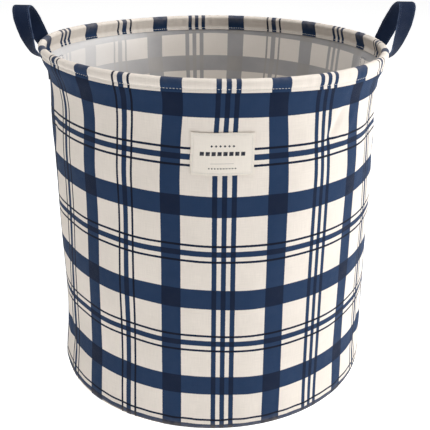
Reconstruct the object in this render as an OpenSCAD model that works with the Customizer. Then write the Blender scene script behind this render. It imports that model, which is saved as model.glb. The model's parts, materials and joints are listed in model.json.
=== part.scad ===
// Round cloth storage bin: a coated plaid wall on a cloth base, a hemmed rim rolled
// over a steel hoop, and two strap handles that lean out from under the hem.
// Origin: centre of the base on the floor. +Z is up and the label faces -Y.

/* [Wall] */
// Height from the floor to the top of the rim
bin_h = 400; // [340:5:460]
// Radius of the wall where it is narrowest
waist_r = 191; // [160:1:220]
// How much wider the wall is at the floor
foot_flare = 6; // [0:0.5:10]
// How much wider the wall is where the hoop stretches it
rim_flare = 4; // [2:0.5:8]
// Height over which the wall spreads out to the hoop
flare_drop = 24; // [10:1:40]
// Thickness of the printed cloth
cloth_t = 1.1; // [0.8:0.1:1.6]
// Thickness of the waterproof coating inside
lining_t = 0.4; // [0.3:0.1:0.6]

/* [Base] */
// Height of the bound seam that stands up inside the corner
binding_h = 10; // [6:1:14]
// Thickness of the binding tape
binding_t = 1.4; // [1:0.1:2]

/* [Rim] */
// Height of the hem, from its stitched edge to its top
hem_h = 15; // [12:1:20]
// Radius of the padded roll round the hoop
roll_r = 3.7; // [3.2:0.1:4.2]
// Radius of the hoop's wire
wire_r = 1.6; // [1.2:0.1:1.8]
// Radius of the tube that joins the wire's ends
sleeve_r = 2.4; // [2.2:0.1:2.5]
// Length of that tube
sleeve_l = 28; // [16:1:40]

/* [Side seam] */
// Angle of the side seam round from the label
seam_angle = -85.4; // [-120:0.2:-60]
// Width of the seam tape inside
seam_tape_w = 11; // [8:1:16]
// Thickness of the seam tape
seam_tape_t = 0.8; // [0.5:0.1:1.2]

/* [Label] */
// Width of the cloth label
label_w = 61; // [40:1:80]
// Height of the cloth label
label_h = 43; // [25:1:50]
// Height of the label's middle above the floor
label_z = 327; // [250:1:335]
// Thickness of the label with its edges folded under
label_t = 0.9; // [0.6:0.1:1.2]

/* [Handles] */
// Angle of each handle's middle round from the label
handle_angle = 93; // [86:1:98]
// Width of the strap
strap_w = 19; // [16:1:22]
// Thickness of the strap
strap_t = 2; // [1.6:0.1:2.4]
// Half the distance between a handle's two legs
leg_half = 28; // [26:1:40]
// Height of the loop above the line it is sewn along
loop_rise = 58.4; // [50:0.2:70]
// How far the top of the loop leans out from that line
loop_lean = 27; // [22:0.2:34]
// Length of each strap end that is sewn to the wall
tab_h = 18; // [14:1:22]

/* [Thread] */
// Width of a line of sewing thread
thread_w = 0.6; // [0.5:0.1:0.8]
// How far the thread stands out of the cloth
thread_t = 0.4; // [0.3:0.1:0.5]

/* [Hidden] */

cream = [0.93, 0.91, 0.87];
navy = [0.16, 0.22, 0.36];
milky = [0.88, 0.88, 0.87];
steel = [0.62, 0.63, 0.65];
thread_white = [0.95, 0.95, 0.93];

round_fn = 180;
hem_z = bin_h - hem_h;
roll_z = bin_h - roll_r;
stations = 28;
sew_gap = 0.05;
corner_gap = 0.1;
sliding_gap = 0.4;
wall_top = hem_z - sliding_gap;

// Radius of the wall's outer face at height z.
function wall_radius(z) =
    waist_r + foot_flare * pow(1 - z / hem_z, 3) + rim_flare * exp((z - hem_z) / flare_drop);

// Heights at which the wall's outline has a point, closer together near the rim.
function station(i) = wall_top * (1 - pow(1 - i / stations, 1.5));

// Turns an angle measured round from the label into one measured from +X.
function polar(from_front) = from_front - 90;

// Outline of a layer that follows the wall, between two depths under its outer face.
function layer(depth_out, depth_in, first = 0) = concat(
    [for (i = [first:stations]) [wall_radius(station(i)) - depth_out, station(i)]],
    [for (i = [stations:-1:first]) [wall_radius(station(i)) - depth_in, station(i)]]
);

// Outline of a patch on the wall's outer face, between two heights and two distances out.
patch_steps = 6;
function patch(z_low, z_high, out_low, out_high) = concat(
    [for (i = [0:patch_steps]) let (z = z_low + (z_high - z_low) * i / patch_steps)
        [wall_radius(z) + out_low, z]],
    [for (i = [patch_steps:-1:0]) let (z = z_low + (z_high - z_low) * i / patch_steps)
        [wall_radius(z) + out_high, z]]
);

// Sweeps an outline round the bin's axis, centred on an angle from the label.
module arc_sweep(outline, middle, width_deg) {
    rotate([0, 0, polar(middle) - width_deg / 2])
        rotate_extrude(angle = width_deg, $fn = round_fn)
            polygon(outline);
}

// A rectangle of stitches on the wall's outer face.
module stitched_frame(middle, width_deg, z_low, z_high, out) {
    thread_deg = thread_w / waist_r * 180 / PI;
    difference() {
        arc_sweep(patch(z_low, z_high, out, out + thread_t), middle, width_deg);
        arc_sweep(
            patch(z_low + thread_w, z_high - thread_w, out - 1, out + thread_t + 1),
            middle, width_deg - 2 * thread_deg
        );
    }
}

/* Wall */

module wall_panel() {
    color(cream)
        rotate_extrude($fn = round_fn)
            polygon(layer(0, cloth_t));
}

module wall_lining() {
    color(milky)
        rotate_extrude($fn = round_fn)
            polygon(layer(cloth_t, cloth_t + lining_t));
}

seam_tape_deg = seam_tape_w / waist_r * 180 / PI;
seam_tape_depth = cloth_t + lining_t;
seam_rows_deg = [-0.35, 0.35] * seam_tape_deg;

module wall_side_seam() {
    color(milky)
        arc_sweep(layer(seam_tape_depth, seam_tape_depth + seam_tape_t, 1), seam_angle, seam_tape_deg);
}

module side_seam_stitching() {
    tape_face = seam_tape_depth + seam_tape_t;
    color(thread_white)
        for (row = seam_rows_deg)
            arc_sweep(
                layer(tape_face, tape_face + thread_t, 1),
                seam_angle + row, thread_w / waist_r * 180 / PI
            );
}

/* Base */

base_r = wall_radius(0) - cloth_t - lining_t - corner_gap;
base_top = cloth_t + lining_t;
binding_r = wall_radius(base_top + binding_h) - cloth_t - lining_t - corner_gap;
binding_stitch_z = base_top + binding_h * 0.6;

module base_panel() {
    color(cream)
        cylinder(h = cloth_t, r = base_r, $fn = round_fn);
}

module base_lining() {
    color(milky)
        translate([0, 0, cloth_t])
            cylinder(h = lining_t, r = base_r, $fn = round_fn);
}

module base_seam_binding() {
    color(cream)
        rotate_extrude($fn = round_fn)
            translate([binding_r - binding_t, base_top])
                square([binding_t, binding_h]);
}

module base_seam_stitching() {
    color(thread_white)
        rotate_extrude($fn = round_fn)
            translate([binding_r - binding_t - thread_t, binding_stitch_z])
                square([thread_t, thread_w]);
}

/* Label */

label_deg = label_w / wall_radius(label_z) * 180 / PI;
label_gap = 0.1;
label_inset = 2.2;
label_inset_deg = label_inset / waist_r * 180 / PI;

module label() {
    color(cream)
        arc_sweep(
            patch(label_z - label_h / 2, label_z + label_h / 2, label_gap, label_gap + label_t),
            0, label_deg
        );
}

module label_stitching() {
    color(thread_white)
        stitched_frame(
            0, label_deg - 2 * label_inset_deg,
            label_z - label_h / 2 + label_inset, label_z + label_h / 2 - label_inset,
            label_gap + label_t + sew_gap
        );
}

/* Rim: the hem's roll of cloth round the hoop, and its two flat plies below */

roll_mid_r = wall_radius(hem_z) - 1.7;
rim_r = roll_mid_r + roll_r;
hem_low_out = wall_radius(hem_z) + 1.2;
hem_low_in = wall_radius(hem_z) - 1.6;
ply_t = 1.2;
sewn_h = 4;

// Radius of the hem's outer and inner face at height z below the roll.
function hem_out(z) = hem_low_out + (rim_r - hem_low_out) * (z - hem_z) / (roll_z - hem_z);
function hem_in(z) =
    hem_low_in + (roll_mid_r - roll_r - hem_low_in) * (z - hem_z) / (roll_z - hem_z);

module hem_outline() {
    difference() {
        union() {
            translate([roll_mid_r, roll_z])
                circle(r = roll_r, $fn = 48);
            polygon([
                [hem_low_in, hem_z], [hem_low_out, hem_z],
                [rim_r, roll_z], [roll_mid_r - roll_r, roll_z]
            ]);
        }
        translate([roll_mid_r, roll_z])
            circle(r = roll_r - ply_t, $fn = 48);
        polygon([
            [hem_out(hem_z + sewn_h) - ply_t - 0.6, hem_z + sewn_h],
            [hem_out(hem_z + sewn_h) - ply_t, hem_z + sewn_h],
            [rim_r - ply_t, roll_z],
            [roll_mid_r - roll_r + ply_t, roll_z]
        ]);
    }
}

module rim_hem() {
    color(cream)
        rotate_extrude($fn = round_fn)
            hem_outline();
}

sleeve_deg = sleeve_l / roll_mid_r * 180 / PI;
wire_gap_deg = 0.6;

module rim_wire() {
    color(steel)
        rotate([0, 0, polar(seam_angle) + wire_gap_deg / 2])
            rotate_extrude(angle = 360 - wire_gap_deg, $fn = round_fn)
                translate([roll_mid_r, roll_z])
                    circle(r = wire_r, $fn = 32);
}

module wire_sleeve() {
    color(steel)
        rotate([0, 0, polar(seam_angle) - sleeve_deg / 2])
            rotate_extrude(angle = sleeve_deg, $fn = round_fn)
                translate([roll_mid_r, roll_z])
                    difference() {
                        circle(r = sleeve_r, $fn = 32);
                        circle(r = wire_r, $fn = 32);
                    }
}

hem_stitch_z = hem_z + 1.6;

module hem_stitching() {
    z_high = hem_stitch_z + thread_w;
    color(thread_white) {
        rotate_extrude($fn = round_fn)
            polygon([
                [hem_out(hem_stitch_z), hem_stitch_z],
                [hem_out(hem_stitch_z) + thread_t, hem_stitch_z],
                [hem_out(z_high) + thread_t, z_high],
                [hem_out(z_high), z_high]
            ]);
        rotate_extrude($fn = round_fn)
            polygon([
                [hem_in(hem_stitch_z), hem_stitch_z],
                [hem_in(z_high), z_high],
                [hem_in(z_high) - thread_t, z_high],
                [hem_in(hem_stitch_z) - thread_t, hem_stitch_z]
            ]);
    }
}

/* Handle ends: the flat parts of each strap, sewn on under the hem */

tab_gap = 0.4;
tab_top = hem_z - 9;
leg_r = wall_radius(tab_top) + tab_gap + strap_t * 1.5;
leg_deg = asin(leg_half / leg_r);
strap_deg = strap_w / waist_r * 180 / PI;
end_inset = 2;

module handle_end(middle) {
    color(navy)
        arc_sweep(patch(tab_top - tab_h, tab_top, tab_gap, tab_gap + strap_t), middle, strap_deg);
}

module end_stitching(middle) {
    inset_deg = end_inset / waist_r * 180 / PI;
    color(thread_white)
        stitched_frame(
            middle, strap_deg - 2 * inset_deg,
            tab_top - tab_h + end_inset, tab_top - end_inset,
            tab_gap + strap_t + sew_gap
        );
}

module handle_left_front_end() {
    handle_end(-handle_angle + leg_deg);
}

module handle_left_rear_end() {
    handle_end(-handle_angle - leg_deg);
}

module handle_right_front_end() {
    handle_end(handle_angle - leg_deg);
}

module handle_right_rear_end() {
    handle_end(handle_angle + leg_deg);
}

module handle_left_end_stitching() {
    for (leg = [-1, 1])
        end_stitching(-handle_angle + leg * leg_deg);
}

module handle_right_end_stitching() {
    for (leg = [-1, 1])
        end_stitching(handle_angle + leg * leg_deg);
}

/*
Handle loops: the strap rises from one leg to the other in a rounded arch that leans
out, and twists a quarter turn between its legs and its top. A point of its middle line
is [distance out, distance along the rim, height], from the line that it is sewn along.
*/

loop_steps = 44;
end_deg = 4;
way_step = 0.5;
seam_line_z = tab_top + 2;
seam_line_x = leg_r * cos(leg_deg);

function loop_point(a) = [
    loop_lean * sin(a),
    -leg_half * sign(cos(a)) * pow(abs(cos(a)), 0.77),
    loop_rise * pow(sin(a), 1.35)
];

function unit(v) = v / norm(v);
function square_off(v, along) = v - (v * along) * along;
function loop_way(a) = unit(loop_point(a + way_step) - loop_point(a - way_step));

// Across the strap: along the rim at the legs, and straight out at the top.
function loop_across(a) =
    let (way = loop_way(a))
    let (out = unit(square_off([1, 0, 0], way)))
    let (side = cross(way, out) * sign(90.001 - a))
    let (twist = 90 * (1 - pow(sin(a), 1.3)))
    unit(cos(twist) * out + sin(twist) * side);

function loop_face(a) = cross(loop_across(a), loop_way(a));

function loop_angle(i) = end_deg + (180 - 2 * end_deg) * i / loop_steps;

// Sweeps a rectangle along the loop: across the strap from one place to another, and
// through it from one depth to another.
module strap_sweep(across_low, across_high, face_low, face_high) {
    corners = [
        [across_low, face_low], [across_high, face_low],
        [across_high, face_high], [across_low, face_high]
    ];
    points = [
        for (i = [0:loop_steps]) let (a = loop_angle(i))
            for (c = corners)
                loop_point(a) + c[0] * loop_across(a) + c[1] * loop_face(a)
    ];
    sides = [
        for (i = [0:loop_steps - 1]) for (k = [0:3])
            let (n = (k + 1) % 4)
            each [
                [4 * i + k, 4 * i + n, 4 * i + 4 + n],
                [4 * i + k, 4 * i + 4 + n, 4 * i + 4 + k]
            ]
    ];
    last = 4 * loop_steps;
    caps = [[3, 2, 1], [3, 1, 0], [last, last + 1, last + 2], [last, last + 2, last + 3]];
    polyhedron(points, concat(sides, caps), convexity = 6);
}

module place_loop(middle) {
    rotate([0, 0, polar(middle)])
        translate([seam_line_x, 0, seam_line_z])
            children();
}

edge_inset = 2.2;

module strap_loop() {
    color(navy)
        strap_sweep(-strap_w / 2, strap_w / 2, -strap_t / 2, strap_t / 2);
}

module strap_edge_stitching() {
    color(thread_white)
        for (side = [-1, 1]) {
            row = side * (strap_w / 2 - edge_inset);
            strap_sweep(
                row - thread_w / 2, row + thread_w / 2,
                strap_t / 2 + 0.02, strap_t / 2 + thread_t
            );
        }
}

module handle_left_loop() {
    place_loop(-handle_angle) strap_loop();
}

module handle_right_loop() {
    place_loop(handle_angle) strap_loop();
}

module handle_left_edge_stitching() {
    place_loop(-handle_angle) strap_edge_stitching();
}

module handle_right_edge_stitching() {
    place_loop(handle_angle) strap_edge_stitching();
}

wall_panel();
wall_lining();
wall_side_seam();
side_seam_stitching();
base_panel();
base_lining();
base_seam_binding();
base_seam_stitching();
label();
label_stitching();
rim_hem();
rim_wire();
wire_sleeve();
hem_stitching();
handle_left_front_end();
handle_left_rear_end();
handle_right_front_end();
handle_right_rear_end();
handle_left_end_stitching();
handle_right_end_stitching();
handle_left_loop();
handle_right_loop();
handle_left_edge_stitching();
handle_right_edge_stitching();
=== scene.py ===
"""Round plaid storage bin: its cloth, straps, label and stitching, built round the CAD frame.

Everything is in metres in the row frame: the bin stands on z = 0 round the Z axis, and
its label faces -Y. An angle is measured round from the label, and grows towards +X.
"""
import json
import math
import random

import bmesh
import bpy
import numpy as np
from mathutils import Matrix, Vector


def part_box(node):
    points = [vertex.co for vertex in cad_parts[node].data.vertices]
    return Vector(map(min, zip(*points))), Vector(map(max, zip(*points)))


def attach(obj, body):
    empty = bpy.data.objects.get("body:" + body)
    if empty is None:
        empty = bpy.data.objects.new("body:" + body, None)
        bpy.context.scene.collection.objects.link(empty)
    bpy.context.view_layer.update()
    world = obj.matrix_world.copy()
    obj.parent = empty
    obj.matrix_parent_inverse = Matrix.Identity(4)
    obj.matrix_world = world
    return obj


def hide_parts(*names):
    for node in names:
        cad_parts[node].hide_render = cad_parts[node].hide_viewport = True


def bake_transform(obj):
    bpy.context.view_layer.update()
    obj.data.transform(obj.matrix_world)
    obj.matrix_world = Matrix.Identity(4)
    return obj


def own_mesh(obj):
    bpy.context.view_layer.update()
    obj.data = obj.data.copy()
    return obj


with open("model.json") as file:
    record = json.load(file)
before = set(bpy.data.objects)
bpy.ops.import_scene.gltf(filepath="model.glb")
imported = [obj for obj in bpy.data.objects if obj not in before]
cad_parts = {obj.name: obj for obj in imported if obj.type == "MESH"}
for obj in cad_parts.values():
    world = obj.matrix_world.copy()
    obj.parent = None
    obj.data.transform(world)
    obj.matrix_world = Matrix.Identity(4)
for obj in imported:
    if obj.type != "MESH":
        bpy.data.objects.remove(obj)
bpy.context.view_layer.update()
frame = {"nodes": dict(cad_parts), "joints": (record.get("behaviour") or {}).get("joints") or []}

mm = 0.001
turn = 2 * math.pi


# ---- sizes from the frame

def corners(node):
    """A CAD node's vertices, as an array."""
    return np.array([v.co for v in frame["nodes"][node].data.vertices], float)


def middle_angle(node):
    """The angle from the label at which a CAD node's middle is."""
    x, y, _ = corners(node).mean(axis=0)
    return math.atan2(x, -y)


def round_face(node, pick):
    """Heights and radii of a round node's outer (pick = max) or inner (min) face."""
    points = corners(node)
    level = np.round(points[:, 2], 4)
    radius = np.hypot(points[:, 0], points[:, 1])
    heights = np.unique(level)
    return heights, np.array([pick(radius[level == h]) for h in heights])


hem_low, hem_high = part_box("rim_hem")
hem_z = hem_low.z
top_z = hem_high.z
rim_r = hem_high.y
wire_low, wire_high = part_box("rim_wire")
roll_z = (wire_low.z + wire_high.z) / 2
roll_r = top_z - roll_z
roll_mid_r = rim_r - roll_r

wall_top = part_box("wall_panel")[1].z
wall_heights, wall_radii = round_face("wall_panel", max)
cloth_t = 1.1 * mm
coating_t = 0.4 * mm
fine_z = np.arange(0, wall_top + mm, mm)
blur = np.hanning(19) / np.hanning(19).sum()
fine_r = np.convolve(np.pad(np.interp(fine_z, wall_heights, wall_radii), 9, "edge"), blur, "valid")
fine_r[-9:] = np.interp(fine_z[-9:], wall_heights, wall_radii)
waist_r = wall_radii.min()

# The hem is a strip folded over the hoop, with the top of the wall sewn in between its plies.
ply_t = 0.7 * mm
hem_outer_low = round_face("rim_hem", max)[1][0]
hem_inner_low = round_face("rim_hem", min)[1][0]
hem_gap_mid = (hem_outer_low + hem_inner_low) / 2
tuck_h = 8 * mm
tuck_t = 0.9 * mm
hem_stitch_count = 386

seam_angle = middle_angle("wall_side_seam")
label_low, label_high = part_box("label")
label_w = label_high.x - label_low.x
base_low, base_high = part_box("base_panel")
lining_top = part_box("base_lining")[1].z

joints = {j["name"]: j for j in frame["joints"]}


# ---- the wall's soft shape

rng = random.Random(11)


def make_waves(count, round_, climb, height):
    """Gentle waves: how many go round the bin, how fast each climbs, its phase, its height."""
    return [
        (rng.randint(*round_), rng.uniform(-climb, climb), rng.uniform(0, turn), height / count)
        for _ in range(count)
    ]


def ripple(waves, angle, z=0.0):
    return sum(h * np.sin(n * angle + k * z + p) for n, k, p, h in waves)


broad_waves = make_waves(5, (2, 5), 14, 2.6 * mm)
middle_waves = make_waves(7, (7, 17), 45, 1.5 * mm)
foot_waves = make_waves(6, (22, 48), 30, 1.5 * mm)
gather_waves = make_waves(6, (90, 170), 0, 0.55 * mm)
hoop_waves = make_waves(3, (2, 4), 0, 0.8 * mm)
roll_waves = make_waves(6, (38, 120), 0, 0.45 * mm)


def clamp(value):
    return np.clip(value, 0, 1)


def smooth_step(value, low, high):
    t = clamp((value - low) / (high - low))
    return t * t * (3 - 2 * t)


def apart(angle, other):
    """The angle from one direction to another, between half a turn each way."""
    return (angle - other + math.pi) % turn - math.pi


def hump(angle, at, width):
    """1 at so many degrees from the label, and less to each side over a width in radians."""
    return np.exp(-(apart(angle, math.radians(at)) / width) ** 2)


# Soft folds in the wall: angle from the label, height, lean from upright towards +angle,
# length, width and depth. A negative depth is a hollow.
folds = [
    (37.4, 0.347, 31, 0.042, 0.0065, -2.6),
    (44, 0.343, 27, 0.046, 0.0080, 1.4),
    (84, 0.332, -16, 0.060, 0.0080, -2.6),
    (93, 0.338, 4, 0.052, 0.0085, 1.8),
    (103, 0.330, 17, 0.062, 0.0080, -2.4),
    (76, 0.300, -34, 0.060, 0.0100, 1.3),
    (-84, 0.334, 15, 0.056, 0.0080, -2.2),
    (-94, 0.336, -5, 0.052, 0.0085, 1.6),
    (-103, 0.330, -18, 0.062, 0.0080, -2.4),
    (-72, 0.305, 32, 0.060, 0.0095, -1.5),
    (-66, 0.060, -22, 0.050, 0.0085, -1.6),
    (66, 0.052, 25, 0.050, 0.0085, -1.6),
    (150, 0.300, 28, 0.080, 0.0110, -1.8),
    (-148, 0.150, -24, 0.090, 0.0120, -1.8),
    (172, 0.090, 12, 0.070, 0.0100, -1.4),
]


def fold_depth(angle, z):
    total = 0
    for at, height, lean, length, width, depth in folds:
        x = waist_r * apart(angle, math.radians(at))
        y = z - height
        tilt = math.radians(lean)
        along = (x * math.sin(tilt) + y * math.cos(tilt)) / (length / 2)
        across = (x * math.cos(tilt) - y * math.sin(tilt)) / width
        ridge = (1 - 0.8 * across**2) * np.exp(-across**2)
        total = total + depth * mm * ridge * np.exp(-along**4)
    return total


end_nodes = [f"handle_{side}_{end}_end" for side in ("left", "right") for end in ("front", "rear")]
strap_ends = [middle_angle(node) for node in end_nodes]
strap_end_z = sum(c.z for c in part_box("handle_left_front_end")) / 2
press_depth = 1.6 * mm
press_half_w = 12 * mm
press_half_h = 14 * mm
# Broad hollows: angle from the label in degrees, width in radians, height, half height, depth.
hollows = [
    (78, 0.6, 345 * mm, 85 * mm, 6.0 * mm),
    (-80, 0.5, 362 * mm, 28 * mm, 2.6 * mm),
]


def pressed_in(angle, z):
    """The hollows that the sewn strap ends pull into the wall."""
    total = 0
    for at in strap_ends:
        across = waist_r * apart(angle, at) / press_half_w
        total = total - press_depth * np.exp(-across**4 - ((z - strap_end_z) / press_half_h) ** 4)
    return total


def slack(angle, z):
    """The broad hollows under the hem at both sides, where the hoop stands out over the wall."""
    total = 0
    for at, width, height, half_height, depth in hollows:
        total = total - depth * hump(angle, at, width) * np.exp(-((z - height) / half_height) ** 2)
    return total * smooth_step(z, hem_z, hem_z - 16 * mm)


# How far from the foot and the hem the waves are held flat, how far the foot's and the hem's
# puckers reach, and the depth and reach of the side seam's dent and of the tuck at the foot.
held_foot, held_hem = 45 * mm, 42 * mm
foot_reach, hem_reach = 26 * mm, 9 * mm
seam_dent, seam_dent_w = 0.7 * mm, 1.3 * mm
foot_tuck, foot_tuck_h = 0.9 * mm, 4 * mm


def swell(angle, z):
    """How far the soft wall stands out of its even CAD shape."""
    held = smooth_step(z, 0, held_foot) * smooth_step(z, hem_z, hem_z - held_hem)
    soft = ripple(broad_waves, angle, z) + ripple(middle_waves, angle, z)
    under_hem = smooth_step(z, hem_z, hem_z - 3 * mm)
    near_hem = under_hem * np.exp((z - hem_z) / hem_reach) * ripple(gather_waves, angle)
    near_foot = smooth_step(z, 0, 9 * mm) * np.exp(-z / foot_reach) * ripple(foot_waves, angle, z)
    seam = -seam_dent * np.exp(-(waist_r * apart(angle, seam_angle) / seam_dent_w) ** 2)
    tuck = -foot_tuck * clamp(1 - z / foot_tuck_h) ** 2
    pulled = pressed_in(angle, z) + slack(angle, z)
    return held * (soft + fold_depth(angle, z)) + pulled + near_hem + near_foot + seam + tuck


def wall_r(angle, z, out):
    """Radius of what lies a distance outside the wall's outer face."""
    return np.interp(z, fine_z, fine_r) + swell(angle, z) + out


def around(angle, radius, z):
    """Points at an angle from the label, a radius and a height, which may be arrays."""
    x, y, height = np.broadcast_arrays(radius * np.sin(angle), -radius * np.cos(angle), z)
    return np.stack([x, y, height], axis=-1)


def on_wall(angle, z, out):
    """Points on the wall's outer face, or a distance outside it."""
    return around(angle, wall_r(angle, z, out), z)


# How the bin stands: the hoop's slope and shift towards -X, its size, and its dip at the back;
# how much wider the foot is at the left, and how far up. Places in degrees, widths in radians.
rim_lean = 0.011
rim_shift = 1.8 * mm
rim_spread = 0.002
back_dip = 3.0 * mm
back_dip_at, back_dip_w = 218, 0.75
foot_spread = 0.020
foot_spread_at, foot_spread_w = -54, 0.6
foot_spread_h = 70 * mm


def near_rim(z):
    """0 on the wall, and 1 on the hem above it."""
    return smooth_step(z, hem_z - 14 * mm, hem_z + 2 * mm)


def settle(points):
    """How the soft bin stands, with a crooked hoop and a foot that spreads at one side."""
    moved = np.array(points, float)
    x, y, z = np.moveaxis(moved, -1, 0).copy()
    angle = np.arctan2(x, -y)
    share = clamp(z / top_z) ** 2
    dip = back_dip * hump(angle, back_dip_at, back_dip_w) + mm * clamp(y / rim_r)
    at_foot = clamp(1 - z / foot_spread_h) * hump(angle, foot_spread_at, foot_spread_w)
    spread = 1 + rim_spread * near_rim(z) + foot_spread * at_foot
    moved[..., 0] = x * spread - rim_shift * near_rim(z)
    moved[..., 1] = y * spread
    moved[..., 2] = z - (rim_lean * x + dip) * share
    return moved


# ---- mesh building

def placed(name, data):
    """A new object in the scene."""
    item = bpy.data.objects.new(name, data)
    bpy.context.scene.collection.objects.link(item)
    return item


def loft(name, points, closed=True, uvs=(), wear_and_highlight=None):
    """A closed mesh through loops of points, an array [loop][point][xyz].

    closed joins the last loop to the first; otherwise both end loops are filled in. Each of
    uvs is (name, U, V), with one more column than the loops have points, and one more row
    where the loops join up. wear is a value for each point, for the material: how much the
    cloth is rubbed and soiled there, and on the straps a painted highlight along the edges as well.
    where the loops join up. wear is a value for each point, for the material.
    """
    loops, count, _ = points.shape
    spans = loops if closed else loops - 1
    i, j = np.meshgrid(np.arange(spans), np.arange(count), indexing="ij")
    i2, j2 = (i + 1) % loops, (j + 1) % count
    quads = np.stack([i * count + j, i * count + j2, i2 * count + j2, i2 * count + j], axis=-1)
    faces = quads.reshape(-1, 4).tolist()
    if not closed:
        last = (loops - 1) * count
        faces += [list(range(count))[::-1], list(range(last, last + count))]
    mesh = bpy.data.meshes.new(name)
    mesh.from_pydata(settle(points).reshape(-1, 3).tolist(), [], faces)
    for uv_name, across, up in uvs:
        across, up = np.broadcast_arrays(across, up)
        grid = np.stack([across, up], axis=-1)
        corner = np.stack([grid[i, j], grid[i, j + 1], grid[i + 1, j + 1], grid[i + 1, j]], axis=2)
        values = [corner.reshape(-1, 2)]
        if not closed:
            values += [grid[0, :count][::-1], grid[-1, :count]]
        add_uv(mesh, uv_name, np.concatenate(values))
    if wear_and_highlight is not None:
        layer = mesh.attributes.new("wear_and_highlight", "FLOAT", "POINT")
        wear_and_highlight = np.broadcast_to(wear_and_highlight, (loops, count)).astype(np.float32)
        layer.data.foreach_set("value", wear_and_highlight.ravel())
    return finish_mesh(name, mesh)


def add_uv(mesh, name, values):
    """A UV layer from a (U, V) pair for each corner of each face."""
    mesh.uv_layers.new(name=name).data.foreach_set("uv", values.astype(np.float32).ravel())


def finish_mesh(name, mesh):
    """Turns the faces outwards, shades them smooth between sharp edges, and adds the piece."""
    work = bmesh.new()
    work.from_mesh(mesh)
    bmesh.ops.recalc_face_normals(work, faces=work.faces)
    work.to_mesh(mesh)
    work.free()
    mesh.polygons.foreach_set("use_smooth", np.ones(len(mesh.polygons), bool))
    mesh.set_sharp_from_angle(angle=math.radians(50))
    return placed(name, mesh)


def lengths(points):
    """Distance along a line of points, starting at 0."""
    steps = np.linalg.norm(np.diff(points, axis=0), axis=1)
    return np.concatenate([[0], np.cumsum(steps)])


def sampled(spots, run, values):
    """The values at places along a line, where run has the distance to each of its points."""
    return np.stack([np.interp(spots, run, column) for column in values.T], axis=-1)


def unit(vectors):
    return vectors / np.linalg.norm(vectors, axis=-1, keepdims=True)


def stitches(name, lines, pitch=3.2 * mm, length=2.3 * mm, radius=0.32 * mm, lift=0.34 * mm):
    """Separate sewn stitches along lines, each a (points, outward directions) pair."""
    sides, rings = 6, 5
    loop_angle = np.arange(sides)[:, None] * turn / sides
    t = np.linspace(0, 1, rings)
    rise = (lift * np.sin(math.pi * t) - 0.45 * lift)[:, None]
    size = (radius * (0.55 + 0.45 * np.sin(math.pi * t)))[:, None, None]
    stitch = []
    for points, normals in lines:
        at = lengths(points)
        count = max(1, round(at[-1] / pitch))
        gap = at[-1] / count
        for k in range(count):
            middle = (k + 0.5) * gap
            spots = np.clip(middle + length * np.linspace(-0.5, 0.5, rings), 0, at[-1])
            line = sampled(spots, at, points)
            normal = unit(sampled(middle, at, normals))
            side = np.cross(unit(line[-1] - line[0]), normal)
            spread = np.cos(loop_angle) * side + np.sin(loop_angle) * normal
            stitch.append((line + normal * rise)[:, None] + size * spread)

    ring, s = (grid.ravel() for grid in np.indices((rings - 1, sides)))
    a, b = ring * sides + s, ring * sides + (s + 1) % sides
    faces = np.stack([a, b, b + sides, a + sides], axis=-1).tolist()
    faces += [list(range(sides))[::-1], list(range((rings - 1) * sides, rings * sides))]
    run = length * t[np.stack([ring, ring, ring + 1, ring + 1], axis=-1)]
    round_ = np.stack([s, s + 1, s + 1, s], axis=-1) / sides
    uv = np.stack([run.ravel(), round_.ravel()], axis=-1)
    uv = np.concatenate([uv, [[0, 0]] * sides, [[length, 0]] * sides])
    firsts = range(0, len(stitch) * rings * sides, rings * sides)
    all_faces = [[first + vertex for vertex in face] for first in firsts for face in faces]
    mesh = bpy.data.meshes.new(name)
    mesh.from_pydata(settle(stitch).reshape(-1, 3).tolist(), [], all_faces)
    add_uv(mesh, "Thread", np.tile(uv, (len(stitch), 1)))
    return finish_mesh(name, mesh)


# ---- materials

def srgb(red, green, blue):
    """A colour from 0 to 255 as it looks on screen, in the shader's linear values."""
    def linear(value):
        value = value / 255
        return value / 12.92 if value < 0.04045 else ((value + 0.055) / 1.055) ** 2.4
    return (linear(red), linear(green), linear(blue), 1)


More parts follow.
